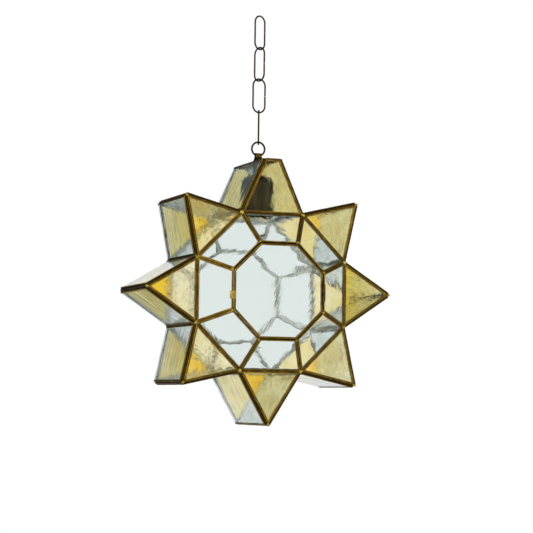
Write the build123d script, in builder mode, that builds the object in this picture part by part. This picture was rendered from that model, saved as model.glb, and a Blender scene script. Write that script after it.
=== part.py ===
"""Eight-pointed glass star lantern on a chain, built the way a tinsmith builds it.

Every pane is a flat piece of glass in its own folded brass channel. The channels meet along the edges
of one inner shape and stand outwards from it, so that an open groove runs along each outside corner.
The front window is a door on a barrel hinge, and a lampholder hangs inside the cut-off top point.
The origin is where the chain's top link bears on its hook. The front faces -Y.
"""

from math import atan2, cos, pi, radians, sin, sqrt, tan
import os

from build123d import *

# Star, seen from the front, measured from its centre
point_names = ["top", "upper_right", "right", "lower_right", "bottom", "lower_left", "left", "upper_left"]
corner_radius = 130.0  # to a corner between two points
tip_radius = 198.5  # to the tip of a pointed point
top_reach = 206.0  # to the seat of the cap on the top point, which is cut off flat
top_width = 22.7  # of the flat on the top point
window_radius = 78.5  # to a corner of the door and of the back window
tip_shifts = {  # of hand-made tips from their even places, to the right and up
    "upper_right": (0.0, 1.5),
    "right": (-1.6, 2.0),
    "bottom": (-2.4, -4.4),
    "left": (-1.2, 2.8),
    "upper_left": (1.6, 3.0),
}

# Star, seen from the side
prism_depth = 127.0  # between the seats of the front and back triangles
bevel_rise = 31.0  # by which the door stands in front of the triangles

# Panes and their brass channels
glass_thickness = 3.4
sheet = 0.5  # brass the channels are folded from
glass_play = 0.1  # between glass and brass, on each side
lip = 2.9  # width of a channel's lips over the glass
door_lip = 2.8
throat_lip = 1.6  # of the bevel panes, along the door
joint_gap = 0.1  # solder line between two channels, on each side
door_gap = 0.4  # round the door

# Door hinge and catch
knuckle_radius = 2.1
knuckle_length = 8.1
knuckle_gap = 0.3
hinge_pin_radius = 0.8
hinge_pin_play = 0.05
pin_head_radius = 1.5
pin_head_height = 0.6
leaf_thickness = 0.5
leaf_width = 2.4
leaf_seam = 0.05  # solder under a leaf
hinge_clearance = 0.2  # between the barrel and the corner of the door
catch_height = 11.8
catch_drop = 8.0  # of its middle under the star's centre
catch_thickness = 0.7
catch_reach = 4.6  # over the bevel beside the door
catch_seat = 2.4  # on the door's lip
catch_clearance = 0.35

# Chain and hanging ring
link_length = 56.0
link_width = 24.0
link_wire = 2.6
link_seam = 0.6  # open butt joint in each link
hanging_play = 0.3  # between two pieces that hang in each other
link_twists = {4: 24.1, 3: -65.9, 2: 8.1, 1: 69.1}  # each link's flat, turned about the vertical
ring_width = 24.5
ring_wire = 3.0

# Cap, strap and the hollow nipple that carries the lampholder
cap_thickness = 1.0
strap_width = 10.0
strap_thickness = 0.8
strap_height = 16.0
strap_loop_width = 5.0  # inside
strap_foot_start = 12.5
strap_foot_end = 21.0
strap_bend = 2.5
strap_rounding = 0.96  # radius of the loop's upper corners over half the loop's width
nipple_radius = 4.95
nipple_bore = 3.5
thread_play = 0.05
nipple_above_nut = 1.5
nut_across_flats = 13.0
nut_height = 3.0

# Lampholder with an E27 thread
holder_drop = 18.8  # from the cap's seat to the top of the lampholder
holder_radius = 24.0
holder_wall = 2.4
boss_radius = 12.0
boss_height = 2.5
dome_height = 12.0
skirt_length = 51.0
ledge_width = 5.0
ledge_height = 2.5
insert_height = 12.0
insert_play = 0.2
nipple_engagement = 7.0
screw_shell_bore = 13.2
screw_shell_wall = 0.5
screw_shell_length = 26.0
contact_radius = 4.5
contact_height = 1.6
terminal_screw_radius = 2.6
terminal_screw_height = 2.2
terminal_screw_offset = 11.0

# Worked out from the sizes above
point_count = len(point_names)
point_step = 360.0 / point_count
half_step = radians(point_step / 2)
channel_height = glass_thickness + 2 * glass_play + 2 * sheet
corner_apothem = corner_radius * cos(half_step)
window_apothem = window_radius * cos(half_step)
bevel_slope = atan2(bevel_rise, corner_apothem - window_apothem)
front_seat = prism_depth / 2
window_seat = front_seat + bevel_rise
past_edge = -2 * sheet  # a cut that runs out past a bare edge

link_pitch = link_length - 2 * link_wire - hanging_play
link_tops = {4: 0.0, 3: -link_pitch, 2: -2 * link_pitch, 1: -3 * link_pitch}
ring_inside = ring_width / 2 - ring_wire
ring_mid = (ring_width - ring_wire) / 2
ring_top_inside = -4 * link_pitch
ring_centre = ring_top_inside - ring_inside
ring_rise_under_strap = ring_inside - sqrt(ring_inside**2 - (strap_width / 2) ** 2)
strap_inside_top = ring_centre - ring_inside + ring_rise_under_strap + hanging_play
cap_top = strap_inside_top + strap_thickness - strap_height
cap_seat = cap_top - cap_thickness
star_centre = cap_seat - top_reach


def star_corner(position):
    """Corner of the star's octagon, position counted in points clockwise from the top."""
    turn = radians(position * point_step)
    return (corner_radius * sin(turn), corner_radius * cos(turn))


def point_outline(index):
    """Corners of one point seen from the front, from its left base corner, clockwise."""
    base = [star_corner(index - 0.5), star_corner(index + 0.5)]
    if index == 0:
        ends = [(-top_width / 2, top_reach), (top_width / 2, top_reach)]
    else:
        turn = radians(index * point_step)
        right, up = tip_shifts.get(point_names[index], (0.0, 0.0))
        ends = [(tip_radius * sin(turn) + right, tip_radius * cos(turn) + up)]
    return [base[0], *ends, base[1]]


def at(flat, y):
    """Point of the star, from its place in the front view and its depth."""
    return Vector(flat[0], y, star_centre + flat[1])


def window_corner(position, y):
    turn = radians(position * point_step)
    return at((window_radius * sin(turn), window_radius * cos(turn)), y)


def facet(corners):
    """Plane of a flat facet whose corners run anticlockwise seen from outside the star."""
    along = corners[1] - corners[0]
    return Plane(origin=corners[0], x_dir=along, z_dir=along.cross(corners[2] - corners[1]))


def inset(corners, margins):
    """Polygon with side i, which runs from corner i to the next, moved inwards by its own margin."""
    sides = []
    for corner, after, margin in zip(corners, corners[1:] + corners[:1], margins):
        along = (after - corner).normalized()
        sides.append((corner + Vector(-along.Y, along.X) * margin, along))
    moved = []
    for (start, along), (other, across) in zip(sides[-1:] + sides[:-1], sides):
        gap = other - start
        travel = (gap.X * across.Y - gap.Y * across.X) / (along.X * across.Y - along.Y * across.X)
        moved.append(start + along * travel)
    return moved


def fill_polygon(corners):
    with BuildLine() as border:
        Polyline(*[(corner.X, corner.Y) for corner in corners], close=True)
    make_face(border.edges())


def framed_pane(corners, setbacks, lips):
    """A pane in its folded channel, standing outwards from a facet. A side without a lip stays bare."""
    plane = facet(corners)
    outline = inset([plane.to_local_coords(corner) for corner in corners], setbacks)
    slot = inset(outline, [sheet if width else past_edge for width in lips])
    window = inset(outline, [width or past_edge for width in lips])
    glass_outline = inset(outline, [sheet + glass_play if width else 0.0 for width in lips])
    with BuildPart() as channel:
        with BuildSketch(plane):
            fill_polygon(outline)
        extrude(amount=channel_height)
        with BuildSketch(plane.offset(sheet)):
            fill_polygon(slot)
        extrude(amount=channel_height - 2 * sheet, mode=Mode.SUBTRACT)
        with BuildSketch(plane):
            fill_polygon(window)
        extrude(amount=channel_height, mode=Mode.SUBTRACT)
    with BuildPart() as pane:
        with BuildSketch(plane.offset(sheet + glass_play)):
            fill_polygon(glass_outline)
        extrude(amount=glass_thickness)
    return channel.part, pane.part


def setback(fold):
    """How far two channels stop short of an inside corner, where their outward normals differ by fold."""
    return channel_height * tan(fold / 2) + joint_gap


def direction(start, end):
    return atan2(end[1] - start[1], end[0] - start[0])


def valley_setback(index):
    """Setback at the valley between point index and the next one clockwise."""
    before = point_outline(index % point_count)
    after = point_outline((index + 1) % point_count)
    turn = direction(after[0], after[1]) - direction(before[-2], before[-1])
    return setback(turn % (2 * pi))


nodes = {}

# The eight points: a front and a back triangle of amber glass and two side panes of clear glass each.
# The side panes run past the back triangle, whose bare edge they cover, and have no channel there.
for index, name in enumerate(point_names):
    outline = point_outline(index)
    base_setback = setback(bevel_slope)
    side_count = len(outline) - 1
    front_corners = [at(flat, -front_seat) for flat in reversed(outline)]
    back_corners = [at(flat, front_seat) for flat in outline]
    face_setbacks = [joint_gap] * side_count + [base_setback]
    face_lips = [lip] * len(outline)
    front_came, front_pane = framed_pane(front_corners, face_setbacks, face_lips)
    back_came, back_pane = framed_pane(back_corners, face_setbacks, face_lips)

    side_back = front_seat + channel_height
    left_base, left_end, right_end, right_base = outline[0], outline[1], outline[-2], outline[-1]
    left_corners = [at(left_base, -front_seat), at(left_end, -front_seat)]
    left_corners += [at(left_end, side_back), at(left_base, side_back)]
    right_corners = [at(right_end, -front_seat), at(right_base, -front_seat)]
    right_corners += [at(right_base, side_back), at(right_end, side_back)]
    left_setbacks = [joint_gap, joint_gap, 0.0, valley_setback(index - 1)]
    right_setbacks = [joint_gap, valley_setback(index), 0.0, joint_gap]
    side_lips = [lip, lip, None, lip]
    left_came, left_pane = framed_pane(left_corners, left_setbacks, side_lips)
    right_came, right_pane = framed_pane(right_corners, right_setbacks, side_lips)

    nodes[f"{name}_point_face_cames"] = Compound([front_came, back_came])
    nodes[f"{name}_point_amber_panes"] = Compound([front_pane, back_pane])
    nodes[f"{name}_point_side_cames"] = Compound([left_came, right_came])
    nodes[f"{name}_point_side_panes"] = Compound([left_pane, right_pane])

# Bevel panes between the points and the windows, front and back
for face, side in {"front": -1, "back": 1}.items():
    cames, panes = [], []
    for index in range(point_count):
        outer = [at(star_corner(index + end), side * front_seat) for end in (0.5, -0.5)]
        inner = [window_corner(index + end, side * window_seat) for end in (-0.5, 0.5)]
        corners = outer + inner
        bevel_setbacks = [setback(bevel_slope), joint_gap, joint_gap, joint_gap]
        bevel_lips = [lip, lip, throat_lip, lip]
        if side > 0:
            corners = [corners[1], corners[0], corners[3], corners[2]]
        came, pane = framed_pane(corners, bevel_setbacks, bevel_lips)
        cames.append(came)
        panes.append(pane)
    nodes[f"{face}_bevel_cames"] = Compound(cames)
    nodes[f"{face}_bevel_panes"] = Compound(panes)

# Windows: the front one is the door, the back one is soldered in
window_positions = [index - 0.5 for index in range(point_count)]
door_corners = [window_corner(position, -window_seat) for position in reversed(window_positions)]
back_window_corners = [window_corner(position, window_seat) for position in window_positions]
nodes["door_came"], nodes["door_pane"] = framed_pane(
    door_corners, [door_gap] * point_count, [door_lip] * point_count
)
nodes["back_window_came"], nodes["back_window_pane"] = framed_pane(
    back_window_corners, [joint_gap] * point_count, [door_lip] * point_count
)

# Barrel hinge over the groove between the door and the right-hand bevel, in plan
door_face = -window_seat - channel_height
door_edge = window_apothem - door_gap
bevel_out = Vector(sin(bevel_slope), -cos(bevel_slope))
bevel_along = Vector(cos(bevel_slope), sin(bevel_slope))
throat_foot = Vector(window_apothem, -window_seat) + bevel_along * joint_gap
bevel_edge = throat_foot + bevel_out * channel_height
hinge_x = (door_edge + bevel_edge.X) / 2
corner_reach = knuckle_radius + hinge_clearance
hinge_y = door_face - sqrt(corner_reach**2 - (hinge_x - door_edge) ** 2)
hinge_length = 3 * knuckle_length + 2 * knuckle_gap
knuckle_step = knuckle_length + knuckle_gap
hinge_bottom = star_centre - hinge_length / 2
fixed_knuckles = [hinge_bottom, hinge_bottom + 2 * knuckle_step]


def knuckle_plane(z):
    return Plane(origin=(hinge_x, hinge_y, z))


with BuildPart() as door_hinge_leaf:
    with BuildSketch(Plane.XY.offset(hinge_bottom + knuckle_step)):
        with Locations((door_edge - leaf_width, door_face - leaf_seam)):
            leaf_reach = hinge_x - door_edge + leaf_width
            Rectangle(leaf_reach, leaf_thickness, align=(Align.MIN, Align.MAX))
        with Locations((hinge_x, hinge_y)):
            Circle(knuckle_radius)
            Circle(hinge_pin_radius + hinge_pin_play, mode=Mode.SUBTRACT)
    extrude(amount=knuckle_length)
nodes["door_hinge_leaf"] = door_hinge_leaf.part

# The fixed leaf is one strip along the bevel's lip, with a knuckle at each end
leaf_start = bevel_edge + bevel_out * leaf_seam - bevel_along * knuckle_radius / 2
leaf_end = bevel_edge + bevel_out * leaf_seam + bevel_along * throat_lip
leaf_section = [leaf_start, leaf_start + bevel_out * leaf_thickness]
leaf_section += [leaf_end + bevel_out * leaf_thickness, leaf_end]
strip_start = bevel_edge + bevel_out * leaf_seam
strip_section = [strip_start, strip_start + bevel_out * leaf_thickness, *leaf_section[2:]]
with BuildPart() as fixed_hinge_leaf:
    for z in fixed_knuckles:
        with BuildSketch(Plane.XY.offset(z)):
            fill_polygon(leaf_section)
            with Locations((hinge_x, hinge_y)):
                Circle(knuckle_radius)
                Circle(hinge_pin_radius + hinge_pin_play, mode=Mode.SUBTRACT)
        extrude(amount=knuckle_length)
    with BuildSketch(Plane.XY.offset(hinge_bottom)):
        fill_polygon(strip_section)
    extrude(amount=hinge_length)
nodes["fixed_hinge_leaf"] = fixed_hinge_leaf.part

pin_bottom = hinge_bottom - hinge_pin_play
pin_length = hinge_length + 2 * hinge_pin_play
with BuildPart() as hinge_pin:
    with BuildSketch(knuckle_plane(pin_bottom)):
        Circle(hinge_pin_radius)
    extrude(amount=pin_length)
    for z, amount in ((pin_bottom, -1), (pin_bottom + pin_length, 1)):
        with BuildSketch(knuckle_plane(z)):
            Circle(pin_head_radius)
        extrude(amount=amount * pin_head_height)
nodes["hinge_pin"] = hinge_pin.part

# Catch: a bent tab on the door's left lip that laps over the bevel beside it
left_out = Vector(-bevel_out.X, bevel_out.Y)
left_along = Vector(-bevel_along.X, bevel_along.Y)
lap_line = Vector(-bevel_edge.X, bevel_edge.Y) + left_out * catch_clearance
seat_y = door_face - leaf_seam
bend_travel = (seat_y - lap_line.Y) / left_along.Y
bend = lap_line + left_along * bend_travel
lap_end = bend + left_along * catch_reach
seat_end = Vector(-door_edge + catch_seat, seat_y)
outer_bend = bend + Vector(-tan(bevel_slope / 2), -1) * catch_thickness
catch_bottom = star_centre - catch_drop - catch_height / 2
with BuildPart() as door_catch:
    with BuildSketch(Plane.XY.offset(catch_bottom)):
        fill_polygon(
            [
                seat_end,
                bend,
                lap_end,
                lap_end + left_out * catch_thickness,
                outer_bend,
                seat_end + Vector(0, -catch_thickness),
            ]
        )
    extrude(amount=catch_height)
    fillet(door_catch.edges().filter_by(Axis.Y).group_by(Axis.X)[-1], radius=catch_thickness)
nodes["door_catch"] = door_catch.part

# Cap: a flat plate across the top point, over the top edges of its front and back channels
cap_depth = 2 * (front_seat + channel_height)
nipple_hole = nipple_radius + thread_play
with BuildPart() as top_cap:
    with BuildSketch(Plane.XY.offset(cap_seat)):
        Rectangle(top_width - 2 * joint_gap, cap_depth)
        Circle(nipple_hole, mode=Mode.SUBTRACT)
    extrude(amount=cap_thickness)
nodes["top_cap"] = top_cap.part

# Strap: one brass strip over the ring, its two feet soldered to the cap in front and behind
strap_middle = (strap_loop_width + strap_thickness) / 2
foot_height = cap_top + strap_thickness / 2
loop_bottom = ring_centre - ring_width / 2 - ring_wire / 2
loop_bend = strap_middle * strap_rounding
crown_height = strap_inside_top + strap_thickness / 2
strap_side = [(strap_foot_end, foot_height), (strap_foot_start, foot_height)]
strap_side += [(strap_middle, loop_bottom), (strap_middle, crown_height)]
with BuildPart() as ring_strap:
    with BuildLine(Plane.YZ) as strap_path:
        FilletPolyline(
            *strap_side,
            *[(-y, z) for y, z in reversed(strap_side)],
            radius=[strap_bend, strap_bend, loop_bend, loop_bend, strap_bend, strap_bend],
        )
    with BuildSketch(strap_path.line ^ 0):
        Rectangle(strap_thickness, strap_width)
    sweep()
nodes["ring_strap"] = ring_strap.part

with BuildPart() as hanging_ring:
    with BuildSketch(Plane.YZ):
        with Locations((0, ring_centre + ring_mid)):
            Circle(ring_wire / 2)
    revolve(axis=Axis((0, 0, ring_centre), (0, 1, 0)))
nodes["hanging_ring"] = hanging_ring.part

# Chain: four open links of bent wire, numbered from the ring up
bight_radius = (link_width - link_wire) / 2
half_straight = (link_length - link_width) / 2
for number, twist in link_twists.items():
    middle = link_tops[number] + link_wire - link_length / 2
    turn = radians(twist)
    link_plane = Plane(
        origin=(0, 0, middle), x_dir=(cos(turn), sin(turn), 0), z_dir=(sin(turn), -cos(turn), 0)
    )
    with BuildPart() as chain_link:
        with BuildLine(link_plane) as link_path:
            Line((bight_radius, link_seam / 2), (bight_radius, half_straight))
            ThreePointArc(
                (bight_radius, half_straight),
                (0, half_straight + bight_radius),
                (-bight_radius, half_straight),
            )
            Line((-bight_radius, half_straight), (-bight_radius, -half_straight))
            ThreePointArc(
                (-bight_radius, -half_straight),
                (0, -half_straight - bight_radius),
                (bight_radius, -half_straight),
            )
            Line((bight_radius, -half_straight), (bight_radius, -link_seam / 2))
        with BuildSketch(link_path.line ^ 0):
            Circle(link_wire / 2)
        sweep()
    nodes[f"chain_link_{number}"] = chain_link.part

# Hollow nipple through the cap, with a locknut above and below
nut_top = cap_top + nut_height
nipple_top = nut_top + nipple_above_nut
holder_top = cap_seat - holder_drop
nipple_bottom = holder_top - nipple_engagement
with BuildPart() as nipple:
    with BuildSketch(Plane.XY.offset(nipple_bottom)):
        Circle(nipple_radius)
        Circle(nipple_bore, mode=Mode.SUBTRACT)
    extrude(amount=nipple_top - nipple_bottom)
nodes["nipple"] = nipple.part

with BuildPart() as nipple_locknuts:
    for z in (cap_top, cap_seat - nut_height):
        with BuildSketch(Plane.XY.offset(z)):
            RegularPolygon(nut_across_flats / 2, 6, major_radius=False)
            Circle(nipple_hole, mode=Mode.SUBTRACT)
        extrude(amount=nut_height)
nodes["nipple_locknuts"] = nipple_locknuts.part

# Lampholder: a domed cap screwed to a skirt, which clamp the insert that carries the screw shell
shoulder = holder_top - boss_height
dome_bottom = shoulder - dome_height
skirt_bottom = dome_bottom - skirt_length
inner_radius = holder_radius - holder_wall
insert_top = dome_bottom - insert_play
insert_bottom = insert_top - insert_height
ledge_top = insert_bottom - insert_play
with BuildPart() as lampholder_cap:
    with BuildSketch(Plane.XZ):
        with BuildLine():
            Line((nipple_hole, holder_top), (boss_radius, holder_top))
            Line((boss_radius, holder_top), (boss_radius, shoulder))
            outer_dome = EllipticalCenterArc(
                (boss_radius, dome_bottom), holder_radius - boss_radius, dome_height, arc_size=90
            )
            Line(outer_dome @ 0, (inner_radius, dome_bottom))
            inner_dome = EllipticalCenterArc(
                (boss_radius, dome_bottom),
                inner_radius - boss_radius,
                dome_height - holder_wall,
                arc_size=90,
            )
            Line(inner_dome @ 1, (nipple_hole, shoulder - holder_wall))
            Line((nipple_hole, shoulder - holder_wall), (nipple_hole, holder_top))
        make_face()
    revolve(axis=Axis.Z)
nodes["lampholder_cap"] = lampholder_cap.part

with BuildPart() as lampholder_skirt:
    with BuildSketch(Plane.XY.offset(skirt_bottom)):
        Circle(holder_radius)
        Circle(inner_radius, mode=Mode.SUBTRACT)
    extrude(amount=skirt_length - joint_gap)
    with BuildSketch(Plane.XY.offset(ledge_top)):
        Circle(inner_radius)
        Circle(inner_radius - ledge_width, mode=Mode.SUBTRACT)
    extrude(amount=-ledge_height)
nodes["lampholder_skirt"] = lampholder_skirt.part

with BuildPart() as lampholder_insert:
    with BuildSketch(Plane.XY.offset(insert_bottom)):
        Circle(inner_radius - insert_play)
    extrude(amount=insert_height)
nodes["lampholder_insert"] = lampholder_insert.part

with BuildPart() as lampholder_screw_shell:
    with BuildSketch(Plane.XY.offset(insert_bottom)):
        Circle(screw_shell_bore + screw_shell_wall)
        Circle(screw_shell_bore, mode=Mode.SUBTRACT)
    extrude(amount=-screw_shell_length)
nodes["lampholder_screw_shell"] = lampholder_screw_shell.part

with BuildPart() as lampholder_contact:
    with BuildSketch(Plane.XY.offset(insert_bottom)):
        Circle(contact_radius)
    extrude(amount=-contact_height)
    fillet(lampholder_contact.faces().sort_by(Axis.Z)[0].edges(), radius=contact_height / 2)
nodes["lampholder_contact"] = lampholder_contact.part

with BuildPart() as terminal_screws:
    with BuildSketch(Plane.XY.offset(insert_top)):
        with Locations((terminal_screw_offset, 0), (-terminal_screw_offset, 0)):
            Circle(terminal_screw_radius)
    extrude(amount=terminal_screw_height)
nodes["terminal_screws"] = terminal_screws.part

os.makedirs("parts", exist_ok=True)
for label, part in nodes.items():
    part.label = label
    export_step(part, f"parts/{label}.step")

print(len(nodes), "nodes, star centre at z", round(star_centre, 3))
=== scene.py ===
"""Looks of the glass star lantern: folded brass channels, rippled and hammered panes, chain and lampholder.

Lengths are in millimetres until a surface is put into its mesh, where they become metres. Facets of the
star are worked out in their own plane: x and y along the pane, z outwards.
"""

import math

import bpy
import numpy as np
from mathutils import Matrix, Vector


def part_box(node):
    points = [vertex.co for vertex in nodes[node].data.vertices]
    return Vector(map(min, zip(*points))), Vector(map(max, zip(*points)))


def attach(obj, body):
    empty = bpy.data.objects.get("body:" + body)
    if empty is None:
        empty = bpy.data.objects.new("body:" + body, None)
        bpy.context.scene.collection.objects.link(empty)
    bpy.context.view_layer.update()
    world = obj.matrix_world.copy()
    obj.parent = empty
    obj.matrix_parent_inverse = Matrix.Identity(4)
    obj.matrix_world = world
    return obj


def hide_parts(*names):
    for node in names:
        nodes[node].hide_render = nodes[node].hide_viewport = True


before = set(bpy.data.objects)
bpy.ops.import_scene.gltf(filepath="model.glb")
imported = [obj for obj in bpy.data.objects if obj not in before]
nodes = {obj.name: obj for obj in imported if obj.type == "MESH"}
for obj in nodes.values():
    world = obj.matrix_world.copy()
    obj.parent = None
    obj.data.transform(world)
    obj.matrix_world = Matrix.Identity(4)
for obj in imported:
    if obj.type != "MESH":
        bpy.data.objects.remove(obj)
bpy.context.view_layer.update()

MM = 0.001

# Sizes shared with the part, in mm. Points are named clockwise from the top, seen from the front, and
# the star's corners and windows are centred on its axis.
POINTS = ["top", "upper_right", "right", "lower_right", "bottom", "lower_left", "left", "upper_left"]
CORNER_RADIUS = 130.0
TIP_RADIUS = 198.5
TIP_SHIFTS = {
    "upper_right": (0.0, 1.5), "right": (-1.6, 2.0), "bottom": (-2.4, -4.4), "left": (-1.2, 2.8),
    "upper_left": (1.6, 3.0),
}
TOP_REACH = 206.0
TOP_WIDTH = 22.7
WINDOW_RADIUS = 78.5
FRONT_SEAT = 63.5
WINDOW_SEAT = 94.5
GLASS = 3.4
SHEET = 0.5
PLAY = 0.1
LIP = 2.9
DOOR_LIP = 2.8
THROAT_LIP = 1.6
JOINT_GAP = 0.1
DOOR_GAP = 0.4
CHANNEL = GLASS + 2 * PLAY + 2 * SHEET
COUNT = len(POINTS)
STEP = math.radians(360 / COUNT)
STAR_Z = sum(corner.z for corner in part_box("back_window_pane")) / 2 / MM

# The photograph's camera, fitted to the corners of the star. It stands left of the front and looks up.
# The picture's width and the focal length are in pixels, the sensor in mm, the angles in radians, and
# the three moves away from the middle of the star and the length of the view in metres.
PICTURE = 533
FOCAL_LENGTH = 1850.6
SENSOR = 36
VIEW_LENGTH = 60
HEADING, PITCH, ROLL = 0.3643, 0.0718, 0.014
SIDEWAYS, UPWARDS, BACKWARDS = 0.016237, 0.043433, 2.90845
FORWARD = Vector(
    (math.sin(HEADING) * math.cos(PITCH), math.cos(HEADING) * math.cos(PITCH), math.sin(PITCH))
)

# The floor, in metres
FLOOR_RADIUS = 2
FLOOR_HEIGHT = -1.15
RIM_POINTS = 96

# The share of its mirror image that a pane keeps where it is seen square on. The photograph's panes
# hardly mirror the room there.
MIRROR = 0.2

# The folded channel: radius of its folds, chamfer of its lip ends, and the spacing of its rings of
# points along an edge
FOLD_RADIUS = 0.95
LIP_CHAMFER = 0.13
RING_SPACING = 6

# Unevenness of hand-folded strip, each as its depth and the length of its waves. No fold stands further
# out than OUTWARD_STOP, where it would touch the next channel.
STRIP_BEND = (0.096, 45.0)
LIP_WAVE = (0.13, 9.0)
STRIP_LIFT = (0.05, 30.0)
OUTWARD_STOP = 0.04

# Each kind of pane: the spacing of its points, the size and depth of the waves in both its faces, how
# much the waves are drawn out along and across it, and the depth and size of the grain in its outer face
AMBER = dict(spacing=1.7, size=9.0, depth=0.075, grain=(0.03, 4.5))
SIDE = dict(spacing=2.2, size=11.0, depth=0.06, stretch=(9.0, 1.0))
BEVEL = dict(spacing=2.2, size=22.0, depth=0.07)
WINDOW = dict(spacing=2.0, size=20.0, depth=0.1, stretch=(1.0, 2.2))

# The edge of a pane: its chamfer, how far inside it the last two rings of points lie, and the width of
# the border in which the waves fade out
PANE_CHAMFER = 0.3
LAST_RINGS = (2.0, 0.4)
FADE_WIDTH = 4.0

# How deep the amber is at the left and the right side of each point's front pane, and then of its back
# pane, from pale straw at 0 to orange at 1, where it stays
TONES = {
    "top": ((0.5, 0.5), (0.5, 0.5)), "upper_right": ((0.5, 0.3), (0.1, 0.6)),
    "right": ((0.9, 0.2), (0.1, 0.5)), "lower_right": ((0.5, 0.1), (0.1, 0.5)),
    "bottom": ((0.4, 0.3), (0.3, 1.0)), "lower_left": ((0.2, 0.1), (0.1, 1.1)),
    "left": ((0.1, 0.0), (0.6, 1.2)), "upper_left": ((0.5, 0.15), (0.1, 1.1)),
}

# Beads of solder: how far the middle of each stands out from the edge it follows, and its radius. In a
# valley or along a base the middle lies GROOVE_DEPTH below the corner where the channels meet. The door
# closes on DOOR_REST, which stands inwards. Fillets are the beads on the inner side of an edge, and in
# the valleys they start and end FILLET_END away from the faces.
FACE_BEAD = (1.1, 1.05)
TIP_BEAD = (1.3, 1.25)
RIDGE_BEAD = (2.6, 1.0)
WINDOW_BEAD = (2.0, 1.0)
DOOR_REST = (0.85, 0.75)
VALLEY_BEAD_RADIUS = 1.1
BASE_BEAD_RADIUS = 1.05
GROOVE_DEPTH = 0.7
VALLEY_FILLET = (1.6, 2.2)
BASE_FILLET = (1.2, 1.5)
THIN_FILLET = (0.5, 1.1)
FILLET_END = 7.0

# Lumps of solder: how far the middle of each lies from its corner, away from the star's axis and out of
# its face, and its radii away from the axis, round it and out of the face
VALLEY_LUMP = ((0.6, 3.6), (3.3, 3.6, 2.2))
WINDOW_LUMP = ((2.4, 1.6), (2.2, 2.0, 1.8))
TIP_LUMP = ((0.4, 2.6), (2.6, 2.0, 1.7))

# Unevenness of the solder, each as its depth and the length of its waves. Both swells, and the length
# of a lump's waves, are shares of the radius. A bead's middle wanders by its depth in mm.
LUMP_SWELL = (0.16, 1.3)
BEAD_SWELL = (0.13, 7.0)
BEAD_WANDER = (0.12, 16.0)
SOLDER_WAVES = 12

# The spacing of a bead's rings of points along its edge, and the number of points in each ring
BEAD_SPACING = 3
BEAD_SIDES = 8


# ---------------------------------------------------------------- camera, floor and light


def linear(code):
    """Colour of an sRGB hex code as linear red, green, blue and alpha."""
    channels = [int(code[i : i + 2], 16) / 255 for i in (0, 2, 4)]
    return tuple(c / 12.92 if c <= 0.04045 else ((c + 0.055) / 1.055) ** 2.4 for c in channels) + (1.0,)


def aim_camera():
    """Camera of the photograph, from its heading, pitch and roll and the star's place in the picture."""
    right = Vector((math.cos(HEADING), -math.sin(HEADING), 0))
    up = right.cross(FORWARD)
    across = right * math.cos(ROLL) + up * math.sin(ROLL)
    upward = up * math.cos(ROLL) - right * math.sin(ROLL)
    lens = bpy.data.cameras.new("camera")
    lens.sensor_width = SENSOR
    lens.lens = FOCAL_LENGTH * SENSOR / PICTURE
    lens.clip_end = VIEW_LENGTH
    camera = bpy.data.objects.new("camera", lens)
    place = Vector((0, 0, STAR_Z * MM)) + across * SIDEWAYS + upward * UPWARDS - FORWARD * BACKWARDS
    turn = Matrix((across, upward, -FORWARD)).transposed()
    camera.matrix_world = Matrix.Translation(place) @ turn.to_4x4()
    bpy.context.scene.collection.objects.link(camera)
    bpy.context.scene.camera = camera


def add_node(tree, kind, settings=None, **links):
    """Adds a shader node. Settings are its properties, and links are values or sockets for its inputs."""
    node = tree.nodes.new(kind)
    for name, value in (settings or {}).items():
        setattr(node, name, value)
    for name, value in links.items():
        key = int(name[1:]) if name[1:].isdigit() else name.replace("_", " ")
        socket = node.inputs[key]
        if isinstance(value, bpy.types.NodeSocket):
            tree.links.new(value, socket)
        else:
            socket.default_value = value
    return node


def white_room():
    """A white studio: pure white where the camera sees it, straight or through the glass. Brass and glass
    mirror white behind the lantern and behind the camera, and a dim, cool room at the sides. The light on
    everything is soft and even."""
    world = bpy.data.worlds.new("studio")
    bpy.context.scene.world = world
    world.use_nodes = True
    tree = world.node_tree
    tree.nodes.clear()
    path = add_node(tree, "ShaderNodeLightPath")
    seen = larger(tree, path.outputs["Is Camera Ray"], path.outputs["Is Glossy Ray"])
    seen = larger(tree, seen, path.outputs["Is Transmission Ray"])
    heading = add_node(tree, "ShaderNodeTexCoord").outputs["Generated"]
    patches = add_node(tree, "ShaderNodeTexNoise", Vector=heading, Scale=1.7, Detail=1.0).outputs["Fac"]
    sides = graded(tree, patches, [(0.36, "23292a"), (0.64, "77837f")])
    towards = add_node(
        tree, "ShaderNodeVectorMath", {"operation": "DOT_PRODUCT"}, _0=heading, _1=tuple(FORWARD)
    ).outputs["Value"]
    room = blend_colours(tree, spread(tree, towards, -0.2, -0.6), sides, "ffffff")
    backdrop = spread(tree, towards, 0.92, 0.975)
    straight = spread(tree, path.outputs["Glossy Depth"], 0.0, 1.0, 1.0, 0.0)
    white = larger(tree, backdrop, straight)
    shown = add_node(
        tree, "ShaderNodeBackground", Color=blend_colours(tree, white, room, "ffffff"), Strength=1.0
    )
    light = add_node(tree, "ShaderNodeBackground", Color=(1, 1, 1, 1), Strength=0.55)
    mix = add_node(tree, "ShaderNodeMixShader", _0=seen, _1=light.outputs[0], _2=shown.outputs[0])
    add_node(tree, "ShaderNodeOutputWorld", Surface=mix.outputs[0])


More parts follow.
